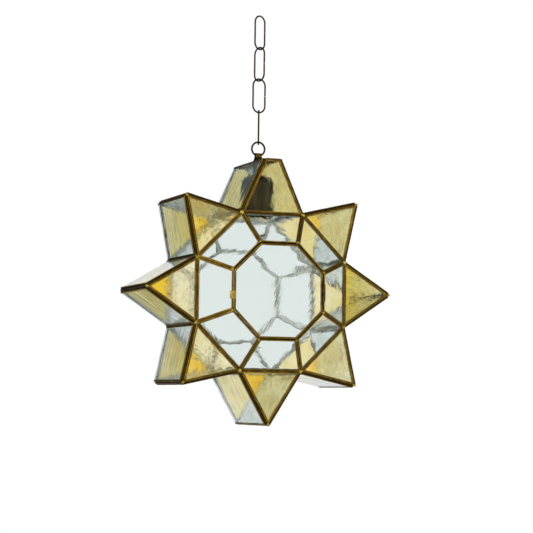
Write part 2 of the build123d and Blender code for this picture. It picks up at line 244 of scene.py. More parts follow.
def add_lamp(name, place, size, power):
    """A round soft lamp that points at the middle of the star. Place and size are in metres, and power
    is in watts."""
    lamp = bpy.data.lights.new(name, "AREA")
    lamp.shape = "DISK"
    lamp.size = size
    lamp.energy = power
    lamp_object = bpy.data.objects.new(name, lamp)
    aim = Vector((0, 0, STAR_Z * MM)) - Vector(place)
    lamp_object.matrix_world = Matrix.Translation(place) @ aim.to_track_quat("-Z", "Y").to_matrix().to_4x4()
    bpy.context.scene.collection.objects.link(lamp_object)


def lay_floor():
    """A pale round floor far below the lantern, which turns into the white of the room towards its rim."""
    tree, output = new_material("pale_floor")
    place = add_node(tree, "ShaderNodeTexCoord")
    distance = add_node(tree, "ShaderNodeVectorMath", {"operation": "LENGTH"}, _0=place.outputs["Object"])
    fade = add_node(
        tree, "ShaderNodeMapRange", {"interpolation_type": "SMOOTHSTEP"}, Value=distance.outputs["Value"],
        From_Min=1.0, From_Max=1.8,
    )
    paint = add_node(tree, "ShaderNodeBsdfDiffuse", Color=linear("f4f4f4"))
    glow = add_node(tree, "ShaderNodeEmission", Color=(1, 1, 1, 1), Strength=1.0)
    mix = add_node(tree, "ShaderNodeMixShader", _0=fade.outputs[0], _1=paint.outputs[0], _2=glow.outputs[0])
    tree.links.new(mix.outputs[0], output.inputs["Surface"])
    turn = np.linspace(0, 2 * np.pi, RIM_POINTS, endpoint=False)
    height = np.full(RIM_POINTS, FLOOR_HEIGHT)
    rim = np.stack([FLOOR_RADIUS * np.cos(turn), FLOOR_RADIUS * np.sin(turn), height], 1)
    mesh = bpy.data.meshes.new("floor")
    mesh.from_pydata(rim.tolist(), [], [list(range(RIM_POINTS))])
    mesh.materials.append(bpy.data.materials["pale_floor"])
    floor = bpy.data.objects.new("floor", mesh)
    bpy.context.scene.collection.objects.link(floor)


# ---------------------------------------------------------------- materials


def new_material(name):
    """An empty node material and its output node."""
    material = bpy.data.materials.new(name)
    material.use_nodes = True
    tree = material.node_tree
    tree.nodes.clear()
    return tree, add_node(tree, "ShaderNodeOutputMaterial")


def pattern(
    tree, size_mm, detail=2.0, roughness=0.5, stretch=(1, 1, 1), attribute=None, turn=0.0, swirl=0.0
):
    """Noise whose grains are size_mm across, on Object coordinates, or on a piece's own attribute, turned
    about its third axis."""
    if attribute:
        place = add_node(tree, "ShaderNodeAttribute", {"attribute_name": attribute}).outputs["Vector"]
    else:
        place = add_node(tree, "ShaderNodeTexCoord").outputs["Object"]
    turned = add_node(tree, "ShaderNodeMapping", Vector=place, Rotation=(0, 0, turn))
    scaled = add_node(tree, "ShaderNodeMapping", Vector=turned.outputs[0], Scale=stretch)
    noise = add_node(
        tree, "ShaderNodeTexNoise", Vector=scaled.outputs[0], Scale=1 / (size_mm * MM), Detail=detail,
        Roughness=roughness, Distortion=swirl,
    )
    return noise.outputs["Fac"]


def graded(tree, factor, stops):
    """Colour ramp through (place, hex colour) stops."""
    ramp = add_node(tree, "ShaderNodeValToRGB", Fac=factor)
    elements = ramp.color_ramp.elements
    while len(elements) < len(stops):
        elements.new(0.5)
    for element, (place, code) in zip(elements, stops):
        element.position = place
        element.color = linear(code)
    return ramp.outputs["Color"]


def spread(tree, factor, low, high, to_low=0.0, to_high=1.0):
    """Factor stretched from low..high to to_low..to_high, and held there."""
    node = add_node(
        tree, "ShaderNodeMapRange", Value=factor, From_Min=low, From_Max=high, To_Min=to_low, To_Max=to_high
    )
    return node.outputs[0]


def blend_colours(tree, factor, first, second):
    """Mix of two colours, each a hex code or a socket."""
    node = add_node(tree, "ShaderNodeMix", {"data_type": "RGBA"}, _0=factor)
    for socket, colour in ((node.inputs[6], first), (node.inputs[7], second)):
        if isinstance(colour, str):
            socket.default_value = linear(colour)
        else:
            tree.links.new(colour, socket)
    return node.outputs[2]


def product(tree, first, second):
    """First times second."""
    return add_node(tree, "ShaderNodeMath", {"operation": "MULTIPLY"}, _0=first, _1=second).outputs[0]


def larger(tree, first, second):
    """The larger of two values."""
    return add_node(tree, "ShaderNodeMath", {"operation": "MAXIMUM"}, _0=first, _1=second).outputs[0]


def thin_lines(tree, noise, low, high):
    """Thin winding lines: 0.5 in the middle of the noise's range from low to high, 0 outside it."""
    middle = 0.5
    return product(tree, spread(tree, noise, low, middle), spread(tree, noise, high, middle))


def read_attribute(tree, name):
    """Value of a mark that the piece's points carry."""
    return add_node(tree, "ShaderNodeAttribute", {"attribute_name": name}).outputs["Fac"]


def relief(tree, height, depth_mm):
    """Normal of a relief whose full height is depth_mm."""
    return add_node(tree, "ShaderNodeBump", Height=height, Distance=depth_mm * MM, Strength=1.0).outputs[0]


def finish(tree, output, **inputs):
    """Ends a material with one Principled shader."""
    shader = add_node(tree, "ShaderNodeBsdfPrincipled", **inputs)
    tree.links.new(shader.outputs[0], output.inputs["Surface"])


def channel_brass():
    """Brass strip, folded by hand and darkened by age: brown patina, rubbed paler on its folds and lip
    ends, and a dull, non-metallic black-brown on the webs that face the grooves between channels. Its
    lips inside the lantern were tinned with solder, which keeps them pale grey."""
    tree, output = new_material("aged_brass_channel")
    stain = pattern(tree, 14.0, detail=4.0, roughness=0.6)
    grain = pattern(tree, 1.6, detail=3.0)
    patches = pattern(tree, 17.0, detail=3.0, roughness=0.6)
    body = graded(tree, stain, [(0.32, "1f1605"), (0.5, "4a370f"), (0.68, "7a6226")])
    rubbed = product(tree, read_attribute(tree, "wear"), spread(tree, grain, 0.3, 0.55))
    brown = blend_colours(tree, rubbed, body, "b49440")
    # The webs that face the grooves between channels are turned a dull black-brown and made less metallic
    groove_darkening, tin = read_attribute(tree, "groove_darkening"), read_attribute(tree, "tinned")
    brown = blend_colours(tree, groove_darkening, brown, "2e220a")
    tinned = graded(tree, patches, [(0.38, "a3a69f"), (0.48, "f0f2ee"), (0.53, "ffffff")])
    colour = blend_colours(tree, tin, brown, tinned)
    groove_dulling = product(tree, groove_darkening, spread(tree, tin, 0.0, 1.0, 1.0, 0.0))
    finish(
        tree, output, Base_Color=colour, Metallic=spread(tree, groove_dulling, 0.0, 1.0, 1.0, 0.0),
        Specular_IOR_Level=0.0, Roughness=spread(tree, stain, 0.3, 0.7, 0.58, 0.4),
        Normal=relief(tree, grain, 0.12),
    )


def rubbed_brass():
    """Sheet brass of the catch, the screw shell and the contact, rubbed bright and dull in its hollows."""
    tree, output = new_material("rubbed_brass_sheet")
    stain = pattern(tree, 3.0, detail=4.0, roughness=0.6)
    colour = graded(tree, stain, [(0.3, "665220"), (0.52, "927a38"), (0.7, "b29a4e")])
    finish(
        tree, output, Base_Color=colour, Metallic=1.0,
        Roughness=spread(tree, stain, 0.3, 0.7, 0.5, 0.34), Normal=relief(tree, stain, 0.1),
    )


def dark_brass(name, dark, middle, light, grain_mm):
    """Drawn brass wire and strip with a brown patina that breaks up into paler spots."""
    tree, output = new_material(name)
    stain = pattern(tree, grain_mm, detail=4.0, roughness=0.65)
    colour = graded(tree, stain, [(0.34, dark), (0.54, middle), (0.68, light)])
    finish(
        tree, output, Base_Color=colour, Metallic=1.0,
        Roughness=spread(tree, stain, 0.3, 0.7, 0.55, 0.38), Normal=relief(tree, stain, 0.15),
    )


def solder(name, dark, middle, light):
    """Soft solder, mottled where the iron left it: brown under the same patina as the brass, with lumps
    paler than the brass and seams darker, and bright inside the lantern, where no hand reaches."""
    tree, output = new_material(name)
    stain = pattern(tree, 2.2, detail=3.0)
    colour = graded(tree, stain, [(0.35, dark), (0.5, middle), (0.66, light)])
    finish(
        tree, output, Base_Color=colour, Metallic=1.0, Roughness=0.42, Normal=relief(tree, stain, 0.2)
    )


def clear_glass(name, colour, stretch, turn, ripple_mm, depth_mm, streaks):
    """Old drawn sheet glass, faintly green, with fine ripples in the direction it was drawn. Streaks is how
    much its thin dark streaks show."""
    tree, output = new_material(name)
    ripple = pattern(tree, ripple_mm, detail=1.5, stretch=stretch, attribute="pane", turn=turn)
    strand = pattern(tree, 7.0, detail=1.0, stretch=(0.05, 1, 1), attribute="pane", swirl=0.3)
    where = pattern(tree, 30.0, detail=1.0, attribute="pane")
    lines = thin_lines(tree, strand, 0.46, 0.54)
    streak = product(tree, lines, spread(tree, where, 0.42, 0.6, 0.0, streaks))
    finish(
        tree, output, Base_Color=blend_colours(tree, streak, colour, "4f5c48"), Transmission_Weight=1.0,
        Roughness=0.04, IOR=1.5, Specular_Tint=(MIRROR, MIRROR, MIRROR, 1),
        Normal=relief(tree, ripple, depth_mm),
    )


def amber_glass():
    """Amber cathedral glass, rolled with a hammered face, a little cloudy and uneven in colour, with brown
    hairlines where the melt was poured. Its depth attribute takes it from straw to orange."""
    tree, output = new_material("amber_cathedral_glass")
    cloud = pattern(tree, 26.0, detail=2.0)
    blotch = pattern(
        tree, 7.0, detail=4.0, roughness=0.65, stretch=(0.5, 1, 1), attribute="pane", swirl=0.8
    )
    hammered = pattern(tree, 4.4, detail=2.0, roughness=0.5, attribute="pane", swirl=1.2)
    strand = pattern(tree, 11.0, detail=2.0, attribute="pane", swirl=3.5)
    where = pattern(tree, 22.0, detail=1.0, attribute="pane")
    pale = graded(tree, cloud, [(0.35, "fff0bf"), (0.5, "fff4cc"), (0.65, "fff8da")])
    deep = graded(tree, cloud, [(0.35, "eaca24"), (0.5, "eed336"), (0.65, "f2dd50")])
    colour = blend_colours(tree, read_attribute(tree, "depth"), pale, deep)
    colour = blend_colours(tree, spread(tree, blotch, 0.46, 0.66, 0.0, 0.35), colour, "dfc47a")
    lines = thin_lines(tree, strand, 0.47, 0.53)
    hairline = product(tree, lines, spread(tree, where, 0.5, 0.62, 0.1, 0.7))
    colour = blend_colours(tree, hairline, colour, "b98a34")
    finish(
        tree, output, Base_Color=colour, Transmission_Weight=1.0, Roughness=0.04, IOR=1.5,
        Specular_Tint=(MIRROR, MIRROR, MIRROR, 1), Normal=relief(tree, hammered, 0.27),
    )


def bakelite():
    """Black phenolic moulding, glossy under a little dust."""
    tree, output = new_material("black_bakelite")
    dust = pattern(tree, 6.0, detail=4.0)
    finish(
        tree, output, Base_Color=graded(tree, dust, [(0.4, "10120f"), (0.7, "1c201c")]),
        Roughness=spread(tree, dust, 0.3, 0.7, 0.3, 0.45), Specular_IOR_Level=0.3,
        Normal=relief(tree, dust, 0.03),
    )


def porcelain():
    """Electrical porcelain: an off-white body under a clear glaze, which gives it sharp highlights."""
    tree, output = new_material("glazed_porcelain")
    cloud = pattern(tree, 9.0, detail=3.0)
    finish(
        tree, output, Base_Color=graded(tree, cloud, [(0.3, "dcd9cf"), (0.7, "e9e6dd")]), Roughness=0.18,
        Coat_Weight=0.5, Normal=relief(tree, cloud, 0.04),
    )


def plated_steel():
    """Zinc-plated steel of the screw heads: light grey, with a soft shine."""
    tree, output = new_material("zinc_plated_steel")
    grain = pattern(tree, 0.8, detail=3.0)
    finish(
        tree, output, Base_Color=graded(tree, grain, [(0.3, "8d8d89"), (0.7, "b4b4af")]), Metallic=1.0,
        Roughness=0.34, Normal=relief(tree, grain, 0.03),
    )


# ---------------------------------------------------------------- surfaces


def put_in_mesh(name, grids, material, body, replaced=(), sharp=40.0):
    """One object from closed surfaces, each (vertices in mm, faces, attributes). A face whose last two
    corners are the same vertex is a triangle."""
    vertices = np.concatenate([grid[0] for grid in grids]) * MM
    starts = np.cumsum([0] + [len(grid[0]) for grid in grids[:-1]])
    mesh = bpy.data.meshes.new(name)
    faces = [face for grid, start in zip(grids, starts) for face in (grid[1] + start).tolist()]
    faces = [face[:3] if face[2] == face[3] else face for face in faces]
    mesh.from_pydata(vertices.tolist(), [], faces)
    for key in grids[0][2]:
        values = np.concatenate([grid[2][key] for grid in grids])
        if values.ndim == 1:
            mesh.attributes.new(key, "FLOAT", "POINT").data.foreach_set("value", values.astype(np.float32))
        else:
            data = mesh.attributes.new(key, "FLOAT_VECTOR", "POINT").data
            data.foreach_set("vector", values.astype(np.float32).ravel())
    mesh.shade_smooth()
    mesh.set_sharp_from_angle(angle=math.radians(sharp))
    mesh.materials.append(bpy.data.materials[material])
    piece = bpy.data.objects.new(name, mesh)
    bpy.context.scene.collection.objects.link(piece)
    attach(piece, body)
    if replaced:
        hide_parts(*replaced)
    return piece


def outwards(vertices, faces):
    """Faces turned so that the closed surface holds a positive volume."""
    a, b, c, d = (vertices[faces[:, i]] for i in range(4))
    volume = np.einsum("ij,ij->", a, np.cross(b, c)) + np.einsum("ij,ij->", a, np.cross(c, d))
    return faces if volume > 0 else faces[:, ::-1].copy()


def ring_faces(rings, around, closed_rings):
    """Quads between neighbouring rings of points. Each ring is closed; the row of rings may be too."""
    row = np.arange(rings if closed_rings else rings - 1)[:, None]
    column = np.arange(around)[None, :]
    after, beside = (row + 1) % rings, (column + 1) % around
    index = [row * around + column, row * around + beside, after * around + beside, after * around + column]
    return np.stack([i.ravel() for i in index], 1)


def capped_faces(vertices, rings, around):
    """Faces of a closed surface whose vertices are rings of points, then a pole for the first ring and a
    pole for the last. A fan of triangles joins each pole to its ring."""
    column = np.arange(around)
    beside = (column + 1) % around
    last_ring = (rings - 1) * around
    first_pole = np.full(around, rings * around)
    last_pole = first_pole + 1
    first_fan = np.stack([beside, column, first_pole, first_pole], 1)
    last_fan = np.stack([last_ring + column, last_ring + beside, last_pole, last_pole], 1)
    faces = outwards(vertices, np.concatenate([ring_faces(rings, around, False), first_fan, last_fan]))
    turned = faces[:, 0] == faces[:, 1]
    faces[turned] = faces[turned][:, [2, 3, 0, 1]]
    return faces


def waves(x, y, size, seed, stretch=(1.0, 1.0), count=28):
    """Smooth random relief, mostly between -1 and 1: a sum of sines in random directions, whose lengths
    lie near size. Stretch above 1 lengthens the waves along that axis."""
    draw = np.random.default_rng(seed)
    turn = draw.uniform(0, 2 * np.pi, count)
    number = 2 * np.pi / (size * draw.uniform(0.7, 1.5, count))
    phase = draw.uniform(0, 2 * np.pi, count)
    along = np.multiply.outer(x / stretch[0], number * np.cos(turn))
    along += np.multiply.outer(y / stretch[1], number * np.sin(turn))
    return np.sin(along + phase).sum(-1) / math.sqrt(count)


def line_waves(along, size, seed, count=28):
    """The same relief along a line."""
    return waves(along, along * 0, size, seed, count=count)


def inset(outline, margins):
    """Corners of an outline whose side i, from corner i to the next, is moved inwards by margins[i].
    Margins may have a second axis, one value for each point of a profile."""
    margins = np.asarray(margins, float).reshape(len(outline), -1)
    along = np.roll(outline, -1, 0) - outline
    along /= np.linalg.norm(along, axis=1)[:, None]
    inward = np.stack([-along[:, 1], along[:, 0]], 1)
    start = outline[:, None] + inward[:, None] * margins[:, :, None]
    before, direction = np.roll(start, 1, 0), np.roll(along, 1, 0)
    gap = start - before
    cross = direction[:, 0] * along[:, 1] - direction[:, 1] * along[:, 0]
    travel = (gap[..., 0] * along[:, None, 1] - gap[..., 1] * along[:, None, 0]) / cross[:, None]
    return before + direction[:, None] * travel[..., None]


def channel_profile():
    """Section of a folded channel: (share of the lip, distance in from the edge, height), first along
    the outside from the inner lip's end round the web to the outer lip's end, then along the inside."""
    turn = np.radians([-90, -112.5, -135, -157.5, -180])
    paths = []
    for skin in (0.0, SHEET):
        radius = FOLD_RADIUS - skin
        fold_in = FOLD_RADIUS + radius * np.cos(turn)
        fold_up = FOLD_RADIUS + radius * np.sin(turn)
        edge = LIP_CHAMFER if skin == 0.0 else SHEET - LIP_CHAMFER
        half = [(1, 0, edge), (1, -LIP_CHAMFER, skin), (0.5, FOLD_RADIUS / 2, skin)]
        half += [(0, a, z) for a, z in zip(fold_in, fold_up)]
        whole = half + [(0, skin, CHANNEL / 2)] + [(f, a, CHANNEL - z) for f, a, z in half[::-1]]
        paths.append(np.array(whole))
    return paths


OUTSIDE, INSIDE = channel_profile()
SECTION = np.concatenate([OUTSIDE, INSIDE[::-1]])

# Points of the section: both ends of its lips, the crest of its outer fold, and the stretch from the
# inner fold over the web to the outer fold, which is made darker and duller
LIP_ENDS = [0, 1, 15, 16, 17, 18]
OUTER_FOLD = slice(10, 13)
GROOVE_SIDE = slice(3, 11)


def channel_marks():
    """How worn, how darkened along the groove and how tinned each point of the section is. The tin lies
    on the lip that faces the inside of the lantern."""
    share, inwards, height = SECTION.T
    wear = np.zeros(len(SECTION))
    wear[OUTER_FOLD] = [0.5, 1, 0.7]
    wear[LIP_ENDS] = 0.8
    groove_darkening = np.zeros(len(SECTION))
    groove_darkening[GROOVE_SIDE] = [0.3, 0.6, 0.9, 1, 1, 1, 0.8, 0.4]
    inner_lip = (height < SHEET + 0.01) & (inwards + share > 0.5)
    return {"wear": wear, "tinned": np.where(inner_lip, 1.0, 0.0), "groove_darkening": groove_darkening}


def channel_surface(outline, lips, place, seed):
    """A channel: the folded section carried round an outline, mitred at its corners. Between corners the
    section moves by a slow wave, and its lip ends by a faster one, as hand-folded strip does. A side
    whose lip is 0 is left out, and the channel is closed by the section's own wall at both ends."""
    share, inwards, height = SECTION.T
    lips = np.array(lips, float)
    margins = share[None] * lips[:, None] + inwards[None] * np.where(lips[:, None] > 0, 1, 0)
    corners = inset(outline, margins)
    count = len(outline)
    bare = [i for i in range(count) if lips[i] == 0]
    order = [(bare[0] + 1 + i) % count for i in range(count - 1)] if bare else list(range(count))
    rings = []
    travelled = 0.0
    for side in order:
        start, end = corners[side], corners[(side + 1) % count]
        length = np.linalg.norm(outline[(side + 1) % count] - outline[side])
        parts = max(4, int(length / RING_SPACING))
        last = bool(bare) and side == order[-1]
        s = np.linspace(0, 1, parts + 1)[: parts + 1 if last else parts]
        flat = start[None] * (1 - s)[:, None, None] + end[None] * s[:, None, None]
        direction = (outline[(side + 1) % count] - outline[side]) / length
        inward = np.array([-direction[1], direction[0]])
        fade = np.sin(np.pi * s) ** 0.5
        where = travelled + s * length
        bend = STRIP_BEND[0] * line_waves(where, STRIP_BEND[1], seed) * fade
        quick = LIP_WAVE[0] * line_waves(where, LIP_WAVE[1], seed + 1) * fade
        move = bend[:, None] * (1 - share)[None] + quick[:, None] * share[None]
        flat = flat + inward * np.maximum(move, -OUTWARD_STOP)[..., None]
        lift = STRIP_LIFT[0] * line_waves(where, STRIP_LIFT[1], seed + 2) * fade
        up = np.broadcast_to(height, flat.shape[:2]) + lift[:, None] * np.sign(height - CHANNEL / 2)
        rings.append(np.concatenate([flat, up[..., None]], 2))
        travelled += length
    rings = np.concatenate(rings)
    faces = ring_faces(len(rings), len(SECTION), not bare)
    if bare:
        half = np.arange(len(OUTSIDE) - 1)
        mate = len(SECTION) - 1 - half
        cap = np.stack([half, mate, mate - 1, half + 1], 1)
        last_ring = (len(rings) - 1) * len(SECTION)
        faces = np.concatenate([faces, cap, cap[:, ::-1] + last_ring])
    vertices = place(rings.reshape(-1, 3))
    marks = {name: np.tile(values, len(rings)) for name, values in channel_marks().items()}
    return vertices, outwards(vertices, faces), marks


def pane_surface(
    outline, place, spacing, seed, size, depth, stretch=(1.0, 1.0), grain=(0.0, 0.0), tone=(0.0, 0.0)
):
    """A pane: rings of points from the middle of its inner face out to its edge and back to the middle of
    its outer face, a little further apart than the points along the edge. Both faces carry a smooth
    random relief of a given depth, which fades out under the channel's lips, and the edge has a small
    chamfer. The pane attribute holds the place in the pane, and the depth attribute the tone of amber,
    from the pane's left side to its right."""
    middle = outline.mean(0)
    count = len(outline)
    boundary = []
    for i in range(count):
        start, end = outline[i], outline[(i + 1) % count]
        parts = max(3, int(np.linalg.norm(end - start) / spacing))
        s = np.linspace(0, 1, parts, endpoint=False)[:, None]
        boundary.append(start * (1 - s) + end * s)
    boundary = np.concatenate(boundary)
    reach = np.linalg.norm(outline - middle, axis=1).mean()
    steps = max(6, int(reach / spacing / 1.3))
    share = (np.arange(steps) + 0.5) / steps
    share = np.append(share[:-1], [1 - inside / reach for inside in LAST_RINGS])
    flat = middle + share[:, None, None] * (boundary - middle)[None]
    bottom = SHEET + PLAY
    inner = np.full(flat.shape[:2], bottom)
    fade = np.clip((1 - share) * reach / FADE_WIDTH, 0, 1)[:, None]
    x, y = flat[..., 0], flat[..., 1]
    inner += depth * waves(x, y, size, seed, stretch) * fade
    outer = bottom + GLASS + depth * waves(x, y, size, seed + 7, stretch) * fade
    if grain[0]:
        outer += grain[0] * waves(x, y, grain[1], seed + 11, stretch) * fade
    lower = np.concatenate([flat, inner[..., None]], 2)
    upper = np.concatenate([flat, outer[..., None]], 2)[::-1]
    around = len(boundary)
    edges = (bottom + PANE_CHAMFER, bottom + GLASS - PANE_CHAMFER)
    rim = [np.concatenate([boundary, np.full((around, 1), height)], 1) for height in edges]
    rings = np.concatenate([lower, np.stack(rim), upper])
    poles = np.array([[*middle, inner[0].mean()], [*middle, outer[0].mean()]])
    points = np.concatenate([rings.reshape(-1, 3), poles])
    vertices = place(points)
    across = vertices[:, 0]
    tones = np.interp(across, [across.min(), across.max()], tone)
    marks = {"pane": points * MM + seed * 0.1, "depth": tones}
    return vertices, capped_faces(vertices, len(rings), around), marks


# ---------------------------------------------------------------- facets of the star


def star_corner(position):
    """Corner of the star's body seen from the front, counted from the top in eighths of a turn."""
    return np.array([CORNER_RADIUS * math.sin(position * STEP), CORNER_RADIUS * math.cos(position * STEP)])


def point_outline(index):
    """Corners of one point seen from the front, from its left base corner, clockwise."""
    base = [star_corner(index - 0.5), star_corner(index + 0.5)]
    if index == 0:
        ends = [np.array([-TOP_WIDTH / 2, TOP_REACH]), np.array([TOP_WIDTH / 2, TOP_REACH])]
    else:
        turn = index * STEP
        shift = np.array(TIP_SHIFTS.get(POINTS[index], (0.0, 0.0)))
        ends = [np.array([TIP_RADIUS * math.sin(turn), TIP_RADIUS * math.cos(turn)]) + shift]
    return [base[0], *ends, base[1]]


def at(flat, y):
    """Place in the star of a corner seen from the front, at depth y."""
    return np.array([flat[0], y, STAR_Z + flat[1]])


def window_corner(position, y):
    """Place of a window's corner, counted as the star's corners are."""
    turn = position * STEP
    return at((WINDOW_RADIUS * math.sin(turn), WINDOW_RADIUS * math.cos(turn)), y)


def facet(corners):
    """A facet's corners in its own plane, and the function that puts points of that plane in the star."""
    corners = np.array(corners)
    x = corners[1] - corners[0]
    x /= np.linalg.norm(x)
    z = np.cross(x, corners[2] - corners[1])
    z /= np.linalg.norm(z)
    axes = np.stack([x, np.cross(z, x), z])
    origin = corners[0]
    return ((corners - origin) @ axes.T)[:, :2], lambda points: origin + points @ axes


def setback(fold):
    """How far a channel stays back from a fold, so that its outer side clears the next channel's."""
    return CHANNEL * math.tan(fold / 2) + JOINT_GAP


def wall(start, end):
    """Corners of the side wall that stands on a line seen from the front."""
    rear = FRONT_SEAT + CHANNEL
    return [at(start, -FRONT_SEAT), at(end, -FRONT_SEAT), at(end, rear), at(start, rear)]


def bearing(start, end):
    """Heading of a line seen from the front."""
    return math.atan2(end[1] - start[1], end[0] - start[0])


def valley_setback(index):
    """Setback of the walls on both sides of the valley after a point."""
    before, after = point_outline(index % COUNT), point_outline((index + 1) % COUNT)
    turn = bearing(after[0], after[1]) - bearing(before[-2], before[-1])
    return setback(turn % (2 * math.pi))


def framed_pane(corners, setbacks, lips, seed, **texture):
    """Channel and pane of one facet."""
    flat, place = facet(corners)
    outline = inset(flat, setbacks)[:, 0]
    channel = channel_surface(outline, lips, place, seed)
    glass = inset(outline, [SHEET + PLAY if lip else 0.0 for lip in lips])[:, 0]
    return channel, pane_surface(glass, place, seed=seed, **texture)


def make_points():
    """The eight points: a front and a back facet of amber glass, and a clear facet for each side wall."""
    for index, name in enumerate(POINTS):
        outline = point_outline(index)
        sides = len(outline) - 1
        seed = 100 * index + 10
        front = [at(flat, -FRONT_SEAT) for flat in reversed(outline)]
        back = [at(flat, FRONT_SEAT) for flat in outline]
        face_setbacks = [JOINT_GAP] * sides + [setback(bevel_slope())]
        lips = [LIP] * len(outline)
        faces = [
            framed_pane(corners, face_setbacks, lips, seed + i * 31, tone=TONES[name][i], **AMBER)
            for i, corners in enumerate((front, back))
        ]
        left, right = wall(outline[0], outline[1]), wall(outline[-2], outline[-1])
        left_setbacks = [JOINT_GAP, JOINT_GAP, 0.0, valley_setback(index - 1)]
        right_setbacks = [JOINT_GAP, valley_setback(index), 0.0, JOINT_GAP]
        wall_lips = [LIP, LIP, 0.0, LIP]
        sheets = [
            framed_pane(left, left_setbacks, wall_lips, seed + 62, **SIDE),
            framed_pane(right, right_setbacks, wall_lips, seed + 77, **SIDE),
        ]
        kinds = [
            ("face_cames", [f[0] for f in faces], "aged_brass_channel", "came_brass"),
            ("amber_panes", [f[1] for f in faces], "amber_cathedral_glass", "amber_glass"),
            ("side_cames", [f[0] for f in sheets], "aged_brass_channel", "came_brass"),
            ("side_panes", [f[1] for f in sheets], "greenish_sheet_glass", "clear_glass"),
        ]
        for kind, grids, material, slot in kinds:
            node = f"{name}_point_{kind}"
            put_in_mesh(f"{node}_dressed", grids, material, "lantern", [node])


def bevel_slope():
    """Angle between a bevel and the window."""
    apothem = math.cos(STEP / 2)
    return math.atan2(WINDOW_SEAT - FRONT_SEAT, (CORNER_RADIUS - WINDOW_RADIUS) * apothem)


def make_bevels():
    """The sloping clear facets between each window and the bases of the points."""
    for face, side in {"front": -1, "back": 1}.items():
        facets = []
        for index in range(COUNT):
            corners = [at(star_corner(index + end), side * FRONT_SEAT) for end in (0.5, -0.5)]
            corners += [window_corner(index + end, side * WINDOW_SEAT) for end in (-0.5, 0.5)]
            if side > 0:
                corners = [corners[1], corners[0], corners[3], corners[2]]
            setbacks = [setback(bevel_slope()), JOINT_GAP, JOINT_GAP, JOINT_GAP]
            seed = 1000 + 100 * index + 50 * side
            facets.append(framed_pane(corners, setbacks, [LIP, LIP, THROAT_LIP, LIP], seed, **BEVEL))
        for kind, part, material, slot in (
            ("cames", 0, "aged_brass_channel", "came_brass"),
            ("panes", 1, "drawn_sheet_glass", "clear_glass"),
        ):
            node = f"{face}_bevel_{kind}"
            put_in_mesh(f"{node}_dressed", [f[part] for f in facets], material, "lantern", [node])


def make_windows():
    """The door and the fixed back window."""
    positions = [index - 0.5 for index in range(COUNT)]
    for node, side, gap, body, brass in (
        ("door", -1, DOOR_GAP, "door", "door_brass"), ("back_window", 1, JOINT_GAP, "lantern", "came_brass")
    ):
        ordered = positions[::-1] if side < 0 else positions
        corners = [window_corner(position, side * WINDOW_SEAT) for position in ordered]
        channel, glass = framed_pane(corners, [gap] * COUNT, [DOOR_LIP] * COUNT, 3000 + side, **WINDOW)
        came, pane = f"{node}_came", f"{node}_pane"
        put_in_mesh(f"{came}_dressed", [channel], "aged_brass_channel", body, [came])
        put_in_mesh(f"{pane}_dressed", [glass], "drawn_sheet_glass", body, [pane])


# ---------------------------------------------------------------- solder


def lump(seat, offset, radii, axes, seed):
    """A solder lump: an ellipsoid in latitude and longitude, swollen and dented by smooth waves. Its
    middle lies off its seat along the first and the last of its axes."""
    rings, around = 10, 18
    latitude = np.linspace(-np.pi / 2, np.pi / 2, rings + 2)[1:-1, None]
    longitude = np.linspace(0, 2 * np.pi, around, endpoint=False)[None]
    x, y = np.cos(latitude) * np.cos(longitude), np.cos(latitude) * np.sin(longitude)
    ball = np.stack([x, y, np.sin(latitude) + 0 * longitude], 2)
    skewed = ball[..., 0] + ball[..., 2], ball[..., 1] - ball[..., 2]
    swell = 1 + LUMP_SWELL[0] * waves(*skewed, LUMP_SWELL[1], seed, count=SOLDER_WAVES)
    poles = [[0, 0, -1.0], [0, 0, 1.0]]
    points = np.concatenate([(ball * swell[..., None]).reshape(-1, 3), poles])
    middle = seat + axes[2] * offset[1] + axes[0] * offset[0]
    vertices = middle + (points * np.array(radii)) @ np.array(axes)
    return vertices, capped_faces(vertices, rings, around), {}


def bead(start, end, normals, height, radius, seed):
    """A solder bead in the groove along an edge: a tube whose centre line stands out from the edge along
    the mean of the two panes' normals, and whose radius swells and shrinks by smooth waves."""
    start, end = np.array(start), np.array(end)
    along = end - start
    length = np.linalg.norm(along)
    along = along / length
    out = np.sum(normals, 0)
    out = out - along * (out @ along)
    out /= np.linalg.norm(out)
    across = np.cross(along, out)
    parts = max(6, int(length / BEAD_SPACING))
    s = np.linspace(0, 1, parts + 1)[:, None]
    turn = np.linspace(0, 2 * np.pi, BEAD_SIDES, endpoint=False)[None, :, None]
    swell = radius * (1 + BEAD_SWELL[0] * line_waves(s * length, BEAD_SWELL[1], seed, SOLDER_WAVES))
    wander = BEAD_WANDER[0] * line_waves(s * length, BEAD_WANDER[1], seed + 5, SOLDER_WAVES)
    centre = start + along * (s * length) + out * (height + wander)
    ring = (out * np.cos(turn) + across * np.sin(turn)) * swell[..., None]
    points = (centre[:, None] + ring).reshape(-1, 3)
    points = np.concatenate([points, centre[:1], centre[-1:]])
    return points, capped_faces(points, parts + 1, BEAD_SIDES), {}


def normal_of(corners):
    """Outward normal of a facet, from its first three corners."""
    a, b, c = (np.array(corner) for corner in corners[:3])
    normal = np.cross(b - a, c - b)
    return normal / np.linalg.norm(normal)


def star_axes(position, side):
    """Directions away from the star's axis, round it and out of its front or back face."""
    turn = position * STEP
    radial = np.array([math.sin(turn), 0, math.cos(turn)])
    tangent = np.array([math.cos(turn), 0, -math.sin(turn)])
    return radial, tangent, np.array([0, side, 0.0])


